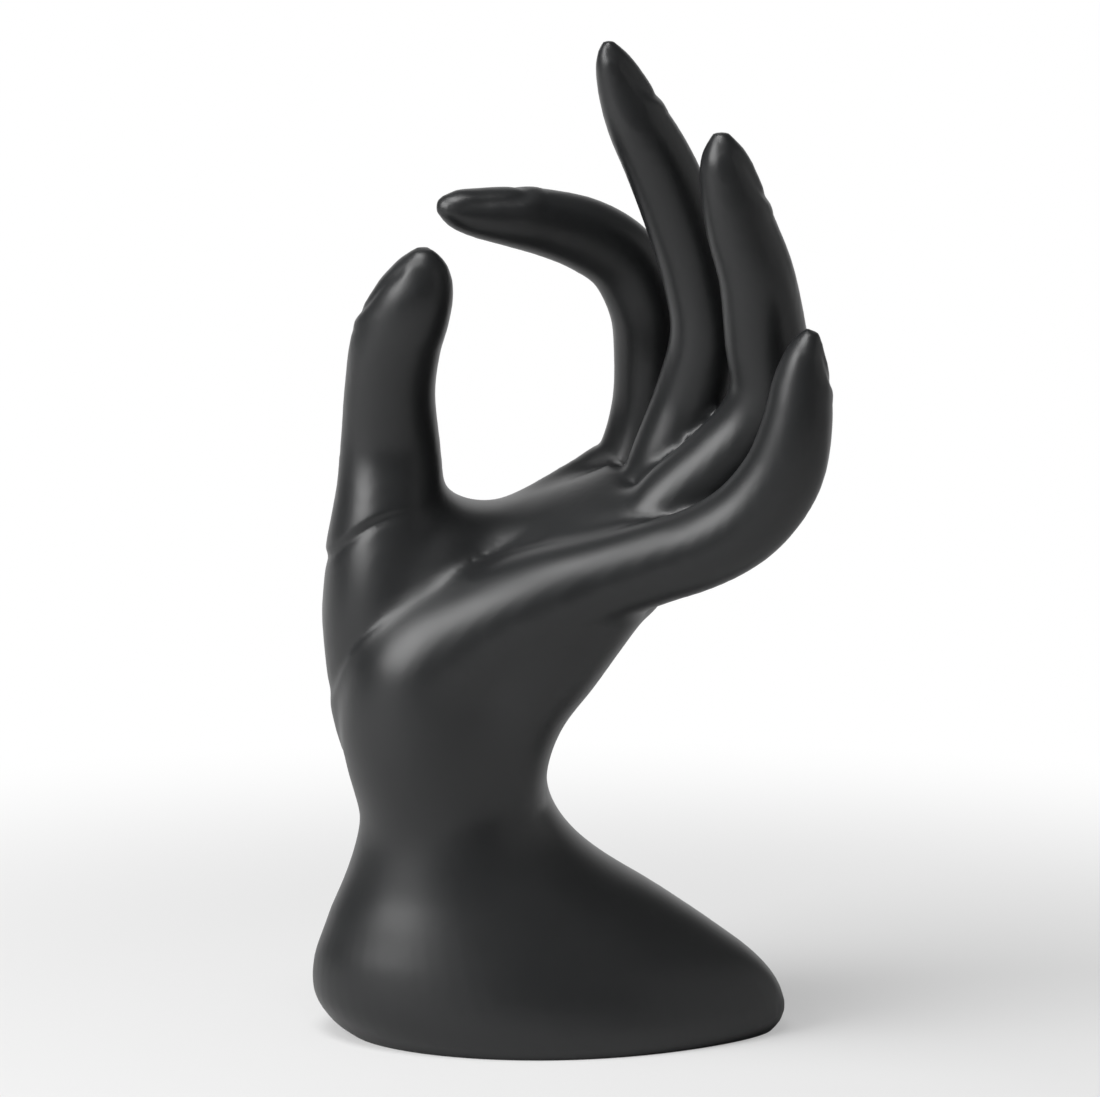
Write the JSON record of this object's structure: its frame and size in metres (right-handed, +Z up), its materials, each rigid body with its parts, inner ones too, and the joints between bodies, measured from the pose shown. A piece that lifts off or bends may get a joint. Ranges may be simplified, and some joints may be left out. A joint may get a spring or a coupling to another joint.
{
  "type": "hand jewelry stand",
  "caption": "Free-standing hand in satin black resin on a flared foot, with upright fingers for holding rings and a thumb and index finger that carry bracelets.",
  "frame": {"origin": "middle of the flat underside of the foot, on the ground", "axes": "+Z up, towards the finger tips; -Y towards the viewer of the picture, on the little finger's side; +X to the right of the picture, towards the back of the hand"},
  "size_m": [0.1077, 0.0714, 0.2102],
  "materials": {
    "black_resin": "satin black coat on cast resin, smooth, with broad soft highlights"
  },
  "bodies": {
    "root": {"hand_stand": "black_resin"}
  },
  "joints": []
}
